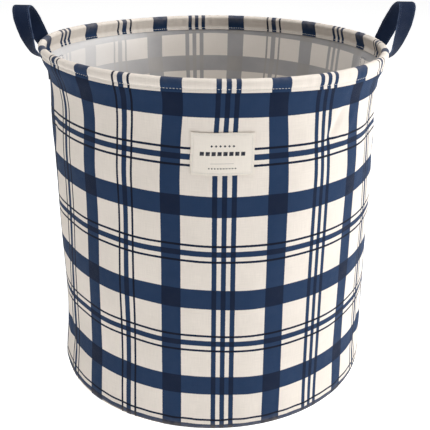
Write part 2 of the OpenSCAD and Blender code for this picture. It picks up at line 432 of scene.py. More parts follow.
class Paint:
    """One material, and short ways to add its shader nodes."""

    def __init__(self, name, **sockets):
        self.material = bpy.data.materials.new(name)
        self.material.use_nodes = True
        self.tree = self.material.node_tree
        self.shader = self.tree.nodes["Principled BSDF"]
        for socket, value in sockets.items():
            self.shader.inputs[socket.replace("_", " ")].default_value = value

    def put(self, socket, value):
        """Links a socket to another node's output, or sets it to a value."""
        if isinstance(value, bpy.types.NodeSocket):
            self.tree.links.new(value, socket)
        else:
            socket.default_value = value

    def add(self, kind, settings=(), **sockets):
        node = self.tree.nodes.new(kind)
        for key, value in dict(settings).items():
            setattr(node, key, value)
        for socket, value in sockets.items():
            self.put(node.inputs[socket.replace("_", " ")], value)
        return node

    def math(self, operation, *values):
        node = self.add("ShaderNodeMath", {"operation": operation})
        for socket, value in zip(node.inputs, values):
            self.put(socket, value)
        return node.outputs[0]

    def plus(self, first, second):
        return self.math("ADD", first, second)

    def minus(self, first, second):
        return self.math("SUBTRACT", first, second)

    def times(self, first, second):
        return self.math("MULTIPLY", first, second)

    def abs(self, value):
        return self.math("ABSOLUTE", value)

    def wave(self, value, pitch):
        """From -1 to 1 and back in every two pitches of a value."""
        return self.math("SINE", self.times(value, math.pi / pitch))

    def ranged(self, value, low, high, to_low, to_high):
        node = self.add(
            "ShaderNodeMapRange", {"interpolation_type": "SMOOTHSTEP"},
            Value=value, From_Min=low, From_Max=high, To_Min=to_low, To_Max=to_high,
        )
        return node.outputs[0]

    def uv(self, name):
        return self.add("ShaderNodeUVMap", {"uv_map": name}).outputs[0]

    def split(self, vector):
        node = self.add("ShaderNodeSeparateXYZ", Vector=vector)
        return node.outputs[0], node.outputs[1]

    def noise(self, vector, scale, detail=2.0, stretch=(1, 1, 1)):
        """Noise from 0 to 1, with scale features in a metre."""
        place = self.add("ShaderNodeMapping", Vector=vector, Scale=stretch).outputs[0]
        node = self.add("ShaderNodeTexNoise", Vector=place, Scale=scale, Detail=detail)
        return node.outputs[0]

    def mix(self, share, first, second, blend="MIX"):
        node = self.add("ShaderNodeMix", {"data_type": "RGBA", "blend_type": blend})
        self.put(node.inputs[0], share)
        self.put(node.inputs[6], first)
        self.put(node.inputs[7], second)
        return node.outputs[2]

    def grey(self, value):
        """A colour with the same value in red, green and blue."""
        return self.add("ShaderNodeCombineColor", Red=value, Green=value, Blue=value).outputs[0]

    def bump(self, height, distance, strength=1.0):
        node = self.add("ShaderNodeBump", Height=height, Distance=distance, Strength=strength)
        self.put(self.shader.inputs["Normal"], node.outputs[0])

    def weave(self, place, pitch):
        """Height of a plain weave's threads, from 0 to 1, at a place in metres."""
        x, y = self.split(place)
        crossing = self.times(self.wave(x, pitch), self.wave(y, pitch))
        return self.math("MULTIPLY_ADD", crossing, 0.5, 0.5)

    def surface(self, colour, roughness):
        self.put(self.shader.inputs["Base Color"], colour)
        self.put(self.shader.inputs["Roughness"], roughness)


half_period = 53.03 * mm
lowest_row = 2.5 * mm
stripes_round = 23
stripe_step = turn / stripes_round
first_stripe = math.radians(0.8)
wide_stripe = 20.6 * mm
wide_row = 22.8 * mm
bar_w = 4.8 * mm
middle_w = 6.3 * mm
line_w = 2.4 * mm
line_out = 9.0 * mm
# The even stripes whose side lines are thin, counted from the label.
fine_line_kinds = (-4, -2, 4, 6, 10, 14)

ink_steps = [
    (0.0, srgb(232, 223, 213)),
    (0.25, srgb(31, 54, 86)),
    (0.5, srgb(11, 28, 54)),
    (0.75, srgb(6, 16, 35)),
    (1.0, srgb(5, 12, 28)),
]


def band(paint, distance, centre, width):
    """1 within a printed band at a distance from its stripe's middle, and 0 outside it."""
    away = paint.abs(paint.minus(distance, centre))
    bleed = 0.2 * mm
    edge = paint.minus(away, paint.times(width, 0.5))
    return paint.ranged(edge, -bleed, bleed, 1, 0)


def print_level(paint, place):
    """How much ink the plaid has at a place in half periods: 0 none, 1 one layer, to 4."""
    u, v = paint.split(place)

    def parts(coordinate, size):
        """A stripe's number, the distance from its middle, and 1 where the number is odd."""
        index = paint.math("FLOOR", paint.plus(coordinate, 0.5))
        distance = paint.times(paint.abs(paint.minus(coordinate, index)), size)
        return index, distance, paint.math("FLOORED_MODULO", index, 2)

    def striped(distance, odd, wide, middle, sides):
        """A wide stripe where the number is odd, and a narrow one with lines beside it if not."""
        triple = paint.plus(band(paint, distance, 0, middle), sides)
        wide_ones = paint.times(odd, band(paint, distance, 0, wide))
        return paint.plus(wide_ones, paint.times(paint.minus(1, odd), triple))

    index, x, odd = parts(u, stripe_step * waist_r)
    fine = 0.0
    for kind in fine_line_kinds:
        fine = paint.plus(fine, paint.math("COMPARE", index, kind, 0.5))
    thin = paint.times(band(paint, x, line_out, line_w), 2)
    bar = band(paint, x, line_out, bar_w)
    sides = paint.plus(bar, paint.times(fine, paint.minus(thin, bar)))
    middle = paint.plus(bar_w, paint.times(fine, middle_w - bar_w))
    upright = striped(x, odd, wide_stripe, middle, sides)
    _, y, odd = parts(v, half_period)
    thin = paint.times(band(paint, y, line_out, line_w), 2)
    return paint.plus(upright, striped(y, odd, wide_row, middle_w, thin))


def ink_colour(paint, level):
    ramp = paint.add("ShaderNodeValToRGB", Fac=paint.math("DIVIDE", level, 4))
    steps = ramp.color_ramp.elements
    steps[0].position, steps[0].color = ink_steps[0]
    steps[1].position, steps[1].color = ink_steps[-1]
    for position, colour in ink_steps[1:-1]:
        steps.new(position).color = colour
    return ramp.outputs[0]


def plaid(paint, cloth, behind=0.0):
    """The print's colour, with edges that bleed a little into the threads, over what is behind."""
    place = paint.uv("Plaid")
    wobble = paint.noise(cloth, 700, 1)
    shift = paint.times(paint.minus(wobble, 0.5), 0.010)
    offset = paint.add("ShaderNodeCombineXYZ", X=shift, Y=shift).outputs[0]
    moved = paint.add("ShaderNodeVectorMath", {"operation": "ADD"})
    paint.put(moved.inputs[0], place)
    paint.put(moved.inputs[1], offset)
    return ink_colour(paint, paint.plus(print_level(paint, moved.outputs[0]), behind))


def slubs(paint, cloth):
    """The uneven threads of the warp and the weft, from 0 to 2."""
    return paint.plus(paint.noise(cloth, 60, 3, (26, 1, 1)), paint.noise(cloth, 60, 3, (1, 26, 1)))


def threads(paint, cloth, colour, amount):
    """Makes a colour uneven, as slubs and soft patches do."""
    mixed = paint.plus(slubs(paint, cloth), paint.noise(cloth, 14, 2))
    shade = paint.ranged(mixed, 0.9, 2.1, 1 - amount, 1 + amount)
    return paint.mix(1.0, colour, paint.grey(shade), "MULTIPLY")


def worn_and_highlighted(paint, cloth, colour, tone, most):
    """Fades or soils a colour towards a tone where the mesh's wear value says. On the straps the
    tone is paler: a painted highlight along the edges, as well as rubbing.
    """
    wear_and_highlight = paint.add("ShaderNodeAttribute", {"attribute_name": "wear_and_highlight"}).outputs["Fac"]
    patchy = paint.ranged(paint.noise(cloth, 130, 4), 0.3, 0.7, 0.35, 1.0)
    share = paint.times(paint.times(wear_and_highlight, patchy), most)
    return paint.mix(share, colour, tone)


def dress(paint, cloth, colour, wear_and_highlight_tone, most, low, high, scale=90):
    """Gives the shader a rubbed and soiled colour, which on the straps also holds a painted
    highlight along the edges, and a roughness that varies between low and high.
    """
    uneven = paint.ranged(paint.noise(cloth, scale, 3), 0.3, 0.7, low, high)
    paint.surface(worn_and_highlighted(paint, cloth, colour, wear_and_highlight_tone, most), uneven)


def fabric(name, sheen, sheen_rough, specular, **sockets):
    """A new cloth material, and the place on its cloth in metres."""
    paint = Paint(
        name, Sheen_Weight=sheen, Sheen_Roughness=sheen_rough,
        Specular_IOR_Level=specular, **sockets,
    )
    return paint, paint.uv("Cloth")


def printed_cloth():
    paint, cloth = fabric("printed_canvas", 0.03, 0.5, 0.09)
    weave = paint.weave(cloth, 0.55 * mm)
    colour = threads(paint, cloth, plaid(paint, cloth), 0.075)
    colour = paint.mix(paint.times(weave, 0.012), colour, srgb(214, 207, 197))
    dress(paint, cloth, colour, srgb(176, 164, 148), 0.35, 0.74, 0.9)
    paint.bump(paint.plus(weave, paint.times(slubs(paint, cloth), 0.6)), 0.16 * mm, 0.75)
    return paint.material


# The turned-in seam under the hem: its height at the label, and how much taller it is at the sides.
turned_h = 9.5 * mm
turned_wave = 4.4 * mm


def coated_lining():
    paint, cloth = fabric("coated_lining", 0.5, 0.6, 0.5, Coat_Weight=0.25, Coat_Roughness=0.35)
    film = srgb(244, 237, 228)
    # Painted light: the pale haze of the lining where the key light falls brightly on it.
    painted_light_haze = srgb(246, 244, 243)
    x, y = paint.split(cloth)
    # Painted light: the lining is washed towards the haze most on the left (-X side), whose inside
    # the key light from +X falls on, so the print fades there.
    left = paint.math("COSINE", paint.plus(paint.math("DIVIDE", x, waist_r), math.radians(92)))
    painted_light_share = paint.ranged(left, 0.2, 1.0, 0, 0.66)
    veil = paint.ranged(paint.noise(cloth, 22, 3), 0.3, 0.7, 0.36, 0.44)
    sideways = paint.abs(paint.math("SINE", paint.math("DIVIDE", x, waist_r)))
    edge = paint.math("MULTIPLY_ADD", sideways, -turned_wave, hem_z - turned_h)
    # The wall's turned-in seam shows through the film as a dark band under the hem.
    turned = paint.ranged(paint.minus(y, edge), -0.4 * mm, 0.4 * mm, 0, 1)
    colour = paint.mix(veil, plaid(paint, cloth, turned), film)
    colour = paint.mix(painted_light_share, colour, painted_light_haze)
    colour = threads(paint, cloth, colour, 0.035)
    dress(paint, cloth, colour, srgb(168, 158, 144), 0.35, 0.34, 0.5, 45)
    weave = paint.weave(cloth, 0.55 * mm)
    paint.bump(paint.math("MULTIPLY_ADD", paint.noise(cloth, 120, 3), 2.2, weave), 0.10 * mm, 0.5)
    return paint.material


def strap_cloth():
    paint, cloth = fabric("navy_strap", 0.05, 0.4, 0.14)
    x, y = paint.split(cloth)
    twill = paint.wave(paint.plus(x, y), 0.42 * mm)
    colour = threads(paint, cloth, srgb(13, 28, 53), 0.10)
    colour = paint.mix(paint.ranged(twill, -1, 1, 0, 0.10), colour, srgb(52, 70, 103))
    # Paler towards the strap's edges: partly edge rubbing, partly a painted highlight along the
    # edges.
    dress(paint, cloth, colour, srgb(112, 130, 162), 0.5, 0.68, 0.86)
    paint.bump(paint.plus(twill, paint.weave(cloth, 0.6 * mm)), 0.12 * mm, 0.7)
    return paint.material


def tape_cloth():
    paint, cloth = fabric("seam_tape", 0.2, 0.5, 0.3)
    x, y = paint.split(cloth)
    rib = paint.wave(paint.plus(x, paint.math("PINGPONG", y, 2.4 * mm)), 0.5 * mm)
    colour = threads(paint, cloth, srgb(226, 217, 203), 0.07)
    colour = paint.mix(paint.ranged(rib, -1, 1, 0, 0.18), colour, srgb(180, 170, 154))
    dress(paint, cloth, colour, srgb(165, 154, 138), 0.4, 0.76, 0.9)
    paint.bump(rib, 0.10 * mm, 0.8)
    return paint.material


def label_cloth():
    """Fine cream cotton with a plain printed motif of squares, dots and a rule."""
    paint, cloth = fabric("label_cotton", 0.15, 0.5, 0.3)
    x, y = paint.split(paint.uv("Motif"))

    def within(value, limit):
        return paint.math("LESS_THAN", paint.abs(value), limit)

    def row(height, size, pitch, half_width, diamond):
        """A row of squares or diamonds at a height on the label."""
        dx = paint.abs(paint.minus(paint.math("FLOORED_MODULO", x, pitch), pitch / 2))
        dy = paint.abs(paint.minus(y, height))
        reach = paint.math("ADD" if diamond else "MAXIMUM", dx, dy)
        mark = paint.ranged(reach, size / 2 - 0.12 * mm, size / 2 + 0.12 * mm, 1, 0)
        return paint.times(mark, within(x, half_width))

    squares = row(0.6 * mm, 4.0 * mm, 5.6 * mm, 22.4 * mm, False)
    dots = row(8.2 * mm, 2.6 * mm, 4.2 * mm, 12.6 * mm, True)
    ticks = row(-14.2 * mm, 1.3 * mm, 2.8 * mm, 14.0 * mm, False)
    rule = paint.times(within(paint.plus(y, 9.3 * mm), 0.22 * mm), within(x, 11 * mm))
    ink = paint.math("MAXIMUM", squares, paint.math("MAXIMUM", dots, ticks))
    ink = paint.math("MAXIMUM", ink, paint.times(rule, 0.5))
    patchy = paint.ranged(paint.noise(cloth, 420, 3), 0.25, 0.6, 0.86, 1.0)
    colour = threads(paint, cloth, srgb(236, 228, 217), 0.05)
    colour = paint.mix(paint.times(ink, patchy), colour, srgb(24, 30, 46))
    dress(paint, cloth, colour, srgb(182, 171, 156), 0.45, 0.76, 0.9)
    paint.bump(paint.weave(cloth, 0.36 * mm), 0.08 * mm, 0.7)
    return paint.material


def sewing_thread(name, colour, pale):
    """Twisted thread, a little uneven from one stitch to the next."""
    paint = Paint(name, Sheen_Weight=0.3, Sheen_Roughness=0.35, Specular_IOR_Level=0.4)
    place = paint.uv("Thread")
    run, side = paint.split(place)
    phase = paint.math("MULTIPLY_ADD", run, turn / (0.7 * mm), paint.times(side, turn))
    ply = paint.math("SINE", phase)
    spot = paint.add("ShaderNodeNewGeometry").outputs["Random Per Island"]
    body = paint.mix(paint.times(spot, 0.5), colour, pale)
    shaded = paint.mix(paint.ranged(ply, -1, 1, 0.25, 0), body, srgb(60, 56, 54))
    paint.surface(shaded, paint.ranged(ply, -1, 1, 0.62, 0.5))
    paint.bump(ply, 0.08 * mm, 0.6)
    return paint.material


def metal(name, colour, stretch):
    """Drawn or crimped metal, with fine marks along it and a few dull patches."""
    paint = Paint(name, Metallic=1.0)
    place = paint.add("ShaderNodeTexCoord").outputs["Object"]
    marks = paint.noise(place, 900, 3, stretch)
    patch = paint.noise(place, 60, 2)
    mixed = paint.math("MULTIPLY_ADD", patch, 0.5, marks)
    dulled = paint.mix(patch, colour, srgb(146, 147, 150))
    paint.surface(dulled, paint.ranged(mixed, 0.4, 1.1, 0.24, 0.48))
    paint.bump(marks, 0.03 * mm, 0.5)
    return paint.material


canvas = printed_cloth()
lining = coated_lining()
strap_fabric = strap_cloth()
tape = tape_cloth()
label_fabric = label_cloth()
pale_thread = sewing_thread("pale_thread", srgb(238, 236, 230), srgb(214, 210, 202))
navy_thread = sewing_thread("navy_thread", srgb(30, 42, 72), srgb(58, 74, 110))


# ---- the pieces

def own(piece, body, material, slot, *nodes):
    """Gives a piece its body and material, and the CAD nodes that it replaces.

    A piece that is bent across a joint has no body of its own. The slot argument is not used.
    """
    piece.data.materials.append(material)
    if body:
        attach(piece, body)
    if nodes:
        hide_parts(*nodes)
    return piece


def squashed(*pieces):
    """Gives each piece its own copy of its mesh."""
    for piece in pieces:
        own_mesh(piece)


# Where the print is pulled round: angle in degrees, width in radians, and how far in radians. The
# first two are on the hem's strip only, the third on the wall under the hem, the last on both.
pulls = [(207, 0.38, -0.045), (125, 0.26, -0.035), (-22, 0.42, 0.023), (19, 0.18, -0.020)]
# The print is pulled round more widely on the wall at the left, and on the hem, in radians.
left_pull = 0.05
hem_pull = 0.014


def stripe_u(angle, z, own_strip=False):
    """Angle in half periods from the stripe behind the label. The print runs a little uneven."""
    moved = rim_shift * np.cos(angle) / waist_r * near_rim(z)
    back, right, left, gap = (by * hump(angle, at, width) for at, width, by in pulls)
    if own_strip:
        front = smooth_step(np.cos(angle), -0.2, 0.2)
        moved = moved + (hem_pull * (1 - np.sin(angle)) ** 1.5 + gap) * front + back + right
    else:
        moved = moved + (left + gap) * smooth_step(z, 335 * mm, 380 * mm)
        slant = smooth_step(z, 150 * mm, 270 * mm) * (1 - 0.5 * smooth_step(z, 345 * mm, 375 * mm))
        moved = moved + left_pull * clamp(-np.sin(angle)) ** 2 * slant
    beside = angle - moved - first_stripe
    waver = 0.0175 * np.sin(4 * beside) - 0.0227 * (1 - np.cos(beside))
    drawn_in = 0.045 * np.sin(beside) * smooth_step(z, 290 * mm, 350 * mm)
    return (beside - waver + drawn_in) / stripe_step


def row_v(angle, z, shift, most):
    """Height in half periods, where an odd number is the middle of a wide row."""
    beside = angle - first_stripe
    bow = 1.4 * mm * (1 - np.cos(3 * beside)) * clamp(1 - z / hem_z) ** 0.7
    lean = -1.5 * mm * np.sin(beside)
    level = z - bow - lean - lowest_row
    rows = level / half_period
    stretch = 0.087 * np.sin(math.pi * clamp(rows / 7) ** 1.2)
    return np.minimum(rows - stretch + shift, most)


# The lining is a cloth of its own, printed with the rows at another height.
lining_shift = 0.81


def ring_angles(count):
    """Angles all round the bin from the side seam, and the same with the seam again at the end."""
    angles = seam_angle + turn * np.arange(count + 1) / count
    return angles[:-1], angles


def wall_layer(name, out_far, out_near, z_low, z_high, rows, wear_from):
    """A thin closed shell that follows the wall, between two distances from its outer face."""
    steps = 96
    face_z = z_low + (z_high - z_low) * np.linspace(0, 1, steps)
    z = np.concatenate([face_z, face_z[::-1]])
    out = np.concatenate([np.full(steps, out_far), np.full(steps, out_near)])
    angles, joined = ring_angles(360)
    radius = wall_r(angles[:, None], z, out)
    tucked = smooth_step(z, hem_z - mm, hem_z + mm)
    held = hem_gap_mid + np.clip((out + cloth_t / 2) * 0.8, -tuck_t / 2, tuck_t / 2)
    radius = radius * (1 - tucked) + held * tucked
    points = around(angles[:, None], radius, z)
    z_more = np.append(z, z[0])
    wear_and_highlight = clamp(1 - np.abs(z - wear_from) / (14 * mm)) ** 2
    uvs = [
        ("Plaid", stripe_u(joined[:, None], z_more), row_v(joined[:, None], z_more, *rows)),
        ("Cloth", (joined * waist_r)[:, None], z_more),
    ]
    return loft(name, points, uvs=uvs, wear_and_highlight=wear_and_highlight)


def make_wall():
    cloth = wall_layer("wall_cloth", 0, -cloth_t, 0, hem_z + tuck_h, (0, 7.15), 0)
    own(cloth, "bin", canvas, "printed_cloth", "wall_panel")
    inner = wall_layer(
        "wall_coating", -cloth_t - 0.02 * mm, -cloth_t - coating_t, lining_top, hem_z - 0.1 * mm,
        (lining_shift, 7.5), lining_top,
    )
    own(inner, "bin", lining, "waterproof_coating", "wall_lining")
    squashed(cloth, inner)


def patch_on_wall(name, middle, width, z_low, z_high, out, thickness, columns, rows, shape=None):
    """A strip of cloth on the wall with rounded edges. shape bends its outline and thickness."""
    u = np.linspace(-0.5, 0.5, columns)
    t = np.linspace(0, 1, rows)
    loop_t = np.concatenate([t, t[::-1]])
    outer = np.concatenate([np.ones(rows), np.zeros(rows)])
    u_grid, t_grid = np.meshgrid(u, loop_t, indexing="ij")
    tall = z_high - z_low
    edge = np.minimum((0.5 - np.abs(u_grid)) * width, np.minimum(t_grid, 1 - t_grid) * tall)
    rounding = np.sqrt(np.clip(edge / (0.8 * abs(thickness)), 0.12, 1))
    extra, du, dz = shape(u_grid, t_grid) if shape else (0, 0, 0)
    z = z_low + tall * t_grid + dz
    angle = middle + (u_grid * width + du) / waist_r
    depth = out + thickness * (0.5 + (outer - 0.5) * rounding) + extra
    points = on_wall(angle, z, depth)
    x_uv = (u * width)[:, None]
    y_uv = np.append(loop_t, loop_t[0]) * tall - tall / 2
    wear_and_highlight = np.exp(-edge / (1.2 * mm))
    uvs = [("Cloth", x_uv, y_uv), ("Motif", x_uv, y_uv)]
    return loft(name, points, closed=False, uvs=uvs, wear_and_highlight=wear_and_highlight)


def wall_line(angle, z, out):
    """A line on the wall, round it or up it, with the directions that face out of the cloth."""
    return on_wall(angle, z, out), around(angle, -1 if out < 0 else 1, 0 * z)


def make_side_seam():
    low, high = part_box("wall_side_seam")
    across = around(seam_angle + math.pi / 2, 1.0, 0.0)
    spread = corners("wall_side_seam") @ across
    width = spread.max() - spread.min()
    tape_t = 0.8 * mm
    out = -cloth_t - coating_t - 0.05 * mm
    strip = patch_on_wall("side_seam_tape", seam_angle, width, low.z, high.z, out, -tape_t, 17, 90)
    own(strip, "bin", tape, "seam_tape", "wall_side_seam")
    face = out - tape_t
    z = np.linspace(low.z + mm, high.z - mm, 200)
    rows = [wall_line(seam_angle + k * width / waist_r, z, face) for k in (-0.35, 0.35)]
    sewn = stitches("side_seam_stitches", rows)
    own(sewn, "bin", pale_thread, "thread", "side_seam_stitching")
    squashed(strip, sewn)


def disc(name, radius, z_low, z_high, row_shift):
    """A round sheet with soft edges."""
    r_steps = np.array([0.004, 0.2, 0.4, 0.6, 0.75, 0.87, 0.95, 0.985, 0.997, 1.0])
    rings = np.concatenate([r_steps, r_steps[::-1]]) * radius
    count = len(r_steps)
    angles = turn * np.arange(181) / 180
    z = np.concatenate([np.full(count, z_low), np.full(count, z_high)])
    edge = 0.3 * (z_high - z_low)
    z[count - 1] += edge
    z[count] -= edge
    rings_grid, angle_grid = np.meshgrid(rings, angles, indexing="ij")
    x, y = rings_grid * np.sin(angle_grid), -rings_grid * np.cos(angle_grid)
    points = np.stack([x, y, np.broadcast_to(z[:, None], x.shape)], axis=-1)[:, :-1]
    step = stripe_step * waist_r
    uvs = [("Plaid", x / step, y / half_period + row_shift), ("Cloth", x, y)]
    wear_and_highlight = (rings_grid[:, :-1] / radius) ** 12
    return loft(name, points, closed=False, uvs=uvs, wear_and_highlight=wear_and_highlight)


def make_base():
    radius = base_high.x - 0.6 * mm
    cloth = disc("base_cloth", radius, base_low.z, base_high.z, 0.0)
    own(cloth, "bin", canvas, "printed_cloth", "base_panel")
    inner = disc("base_coating", radius, base_high.z + 0.02 * mm, lining_top, 0.35)
    own(inner, "bin", lining, "waterproof_coating", "base_lining")


def ribbon(path, thickness):
    """A closed outline [point][radius, z] from a path and its copy a thickness to its right."""
    way = np.gradient(path, axis=0)
    way /= np.linalg.norm(way, axis=1)[:, None]
    right = np.stack([way[:, 1], -way[:, 0]], axis=-1)
    return np.concatenate([path, (path + thickness * right)[::-1]])


def make_binding():
    low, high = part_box("base_seam_binding")
    thick = 1.4 * mm
    ply = 0.55 * mm
    outer_r = high.x
    bend = thick / 2
    arc = np.linspace(0, math.pi, 9)
    up = np.linspace(low.z, high.z - bend, 12)
    fold_r = outer_r - bend + bend * np.cos(arc)[1:]
    fold_z = high.z - bend + bend * np.sin(arc)[1:]
    path_r = np.concatenate([np.full(12, outer_r), fold_r, np.full(11, outer_r - thick)])
    path_z = np.concatenate([up, fold_z, up[::-1][1:]])
    outline = ribbon(np.stack([path_r, path_z], axis=-1), -ply)
    tall = high.z - low.z

    def uneven(angle, above):
        """How far the binding is out of round, at an angle and a height above its lower edge."""
        lean = ripple(gather_waves, angle) * 0.5 * above / tall
        return lean - 0.04 * above * (1 + np.sin(31 * angle))

    angles, joined = ring_angles(360)
    above = outline[:, 1] - low.z
    radius = outline[:, 0] + uneven(angles[:, None], above)
    points = around(angles[:, None], radius, outline[:, 1])
    run = lengths(outline)
    run = np.append(run, run[-1] + ply)
    uvs = [("Cloth", (joined * outer_r)[:, None], run)]
    piece = loft("base_binding", points, uvs=uvs, wear_and_highlight=clamp(above / tall) ** 6)
    own(piece, "bin", tape, "seam_tape", "base_seam_binding")
    level = sum(c.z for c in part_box("base_seam_stitching")) / 2
    fine = seam_angle + np.linspace(0, turn, 721)
    radius = outer_r - thick + uneven(fine, level - low.z)
    line = (around(fine, radius, level), -around(fine, 1, 0 * fine))
    sewn = stitches("base_stitches", [line])
    own(sewn, "bin", pale_thread, "thread", "base_seam_stitching")
    squashed(piece, sewn)


# The hem's lower edge: how far it hangs inside and is drawn up outside, and how much further up it
# is at the left than at the label. Then how far above it the stitches are, inside and outside.
hem_hang = 4.4 * mm
hem_drawn_up = 1.7 * mm
hem_slant = 2.2 * mm
hem_seam_in, hem_seam_out = 2.2 * mm, 3.4 * mm


def hem_edge(angle, inside):
    """Height of the hem's lower edge, which is folded lower inside and is uneven outside."""
    if inside:
        return hem_z - hem_hang + 0 * angle
    wave = mm * np.cos(5 * (angle - math.radians(8)))
    return hem_z + hem_drawn_up - hem_slant * np.sin(angle) + wave


def hem_seam(angle, inside):
    """Height of the row of stitches along the hem."""
    return hem_edge(angle, inside) + (hem_seam_in if inside else hem_seam_out)


def hem_radius(angle, z, inside):
    """Radius of the hem's face below the roll, with its puff, gathers and sewn hollow."""
    share = (z - hem_z) / (roll_z - hem_z)
    seam = hem_seam(angle, inside)
    puff = np.sin(clamp((z - seam) / (roll_z + 2 * mm - seam)) * math.pi) ** 0.8
    gathers = ripple(gather_waves, angle + (2.1 if inside else 0)) * (0.35 + 0.9 * puff)
    sewn = np.exp(-((z - seam) / (1.1 * mm)) ** 2)
    dimple = sewn * (0.35 * mm + 0.12 * mm * np.cos(hem_stitch_count * angle))
    bulge = 0.75 * mm * puff + gathers * 0.55 - dimple
    rolled = ripple(hoop_waves, angle)
    if inside:
        radius = hem_inner_low + (roll_mid_r - roll_r - hem_inner_low) * share - bulge + rolled
        lining_r = wall_r(angle, np.minimum(z, hem_z - mm), -cloth_t - coating_t)
        room = lining_r - ply_t - 0.15 * mm + 0.8 * clamp(z - hem_z)
        return np.minimum(radius, room)
    return hem_outer_low + (rim_r - hem_outer_low) * share + bulge + rolled


def make_hem():
    angles, joined = ring_angles(1200)
    a = angles[:, None]
    rise = np.linspace(0, 1, 12)
    z_out = hem_edge(a, False) + (roll_z - hem_edge(a, False)) * rise
    z_in = (hem_edge(a, True) + (roll_z - hem_edge(a, True)) * rise)[:, ::-1]
    arc = np.linspace(0, math.pi, 19)[1:-1]
    outside = hem_radius(a, z_out, False)
    inside = hem_radius(a, z_in, True)
    crown = roll_r + ripple(roll_waves, a) * np.sin(arc) * 0.5
    left, right = inside[:, :1], outside[:, -1:]
    top_r = (right + left) / 2 + (right - left) / 2 * np.cos(arc)
    top_z_ = roll_z + crown * np.sin(arc)
    radius = np.hstack([outside, top_r, inside])
    height = np.hstack([z_out, top_z_, z_in])
    way_r, way_z = np.gradient(radius, axis=1), np.gradient(height, axis=1)
    size = np.hypot(way_r, way_z)
    inner_r = radius - ply_t * way_z / size
    inner_z = height + ply_t * way_r / size
    all_r = np.hstack([radius, inner_r[:, ::-1]])
    all_z = np.hstack([height, inner_z[:, ::-1]])
    points = around(a, all_r, all_z)
    mean = np.stack([radius.mean(axis=0), height.mean(axis=0)], axis=-1)
    run = lengths(mean)
    run = np.concatenate([run, run[::-1]])
    run = np.append(run, run[0])
    crest = clamp(np.sin(clamp(run[:-1] / run.max()) * math.pi)) ** 6
    # The strip was cut where the print has no rows, apart from what its folded edges hide.
    plain = 7.24 + 0.4 * run / run.max()
    uvs = [
        ("Plaid", stripe_u(joined[:, None], top_z, True), plain),
        ("Cloth", (joined * rim_r)[:, None], run + hem_z),
    ]
    piece = loft("hem_cloth", points, uvs=uvs, wear_and_highlight=0.8 * crest)
    own(piece, "rim", canvas, "printed_cloth", "rim_hem")
    fine = seam_angle + np.linspace(0, turn, 3 * hem_stitch_count + 1)
    outward = around(fine, 1, 0 * fine)
    seam_out, seam_in = hem_seam(fine, False), hem_seam(fine, True)
    face_out = (around(fine, hem_radius(fine, seam_out, False), seam_out), outward)
    face_in = (around(fine, hem_radius(fine, seam_in, True), seam_in), -outward)
    outer_row = stitches("hem_stitches_outside", [face_out])
    inner_row = stitches("hem_stitches_inside", [face_in])
    own(outer_row, "rim", pale_thread, "thread", "hem_stitching")
    own(inner_row, "rim", pale_thread, "thread")


def make_label():
    gap, thick = 0.1 * mm, 0.9 * mm
    height = label_high.z - label_low.z
    inset = 2.2 * mm

    def shape(u, t):
        """Lifts the corners, presses the edges, and makes the cut a little wider at its foot."""
        corner = (np.abs(2 * u) ** 6) * (np.abs(2 * t - 1) ** 6)
        x_in = (0.5 - np.abs(u)) * label_w
        y_in = np.minimum(t, 1 - t) * height
        line = np.exp(-((np.minimum(x_in, y_in) - inset) / (0.7 * mm)) ** 2)
        crown = 0.25 * mm * np.sin(9 * u + 2) * np.cos(5 * t)
        extra = 0.5 * mm * corner - 0.22 * mm * line + crown * (1 - line) + 0.25 * mm
        wobble = 0.25 * mm * np.sin(11 * t + 1)
        sideways = u * (0.5 - t) * 1.8 * mm + wobble + (t - 0.5) * 0.4 * mm
        return extra, sideways, 0.2 * mm * np.sin(8 * u)

    low, high = label_low.z, label_high.z
    piece = patch_on_wall("label_patch", 0, label_w, low, high, gap, thick, 81, 55, shape)
    own(piece, "bin", label_fabric, "label_cloth", "label")
    across = (label_w / 2 - inset) / waist_r
    face = gap + thick + 0.12 * mm
    level = np.linspace(-across, across, 60)
    z = np.linspace(label_low.z + inset, label_high.z - inset, 40)
    lines = [wall_line(level, height, face) for height in (z[0], z[-1])]
    lines += [wall_line(side, z, face) for side in (-across, across)]
    sewn = stitches("label_stitches", lines, 2.6 * mm, 1.9 * mm, 0.2 * mm, 0.22 * mm)
    own(sewn, "bin", pale_thread, "thread", "label_stitching")
    squashed(piece, sewn)


# ---- the handles

strap_w = 19 * mm
strap_t = 2 * mm
pressed_t = 1.2 * mm
end_gap = 0.4 * mm
edge_inset = 2.2 * mm
end_inset = 3.4 * mm
end_stitch = (2.6 * mm, 2.0 * mm, 0.25 * mm, 0.3 * mm)
seam_line_z = joints["handle_left_swing"]["pos_m"][2]
# How far each loop leans out and stands up, against its CAD shape. Cloth loops never match.
stands = {"left": (0.84, 0.95), "right": (1.0, 1.105)}


def smoothed(values, passes):
    """Evens out a line of points or directions, keeping its two ends."""
    for _ in range(passes):
        values = values.copy()
        values[1:-1] = (values[:-2] + 2 * values[1:-1] + values[2:]) / 4
    return values


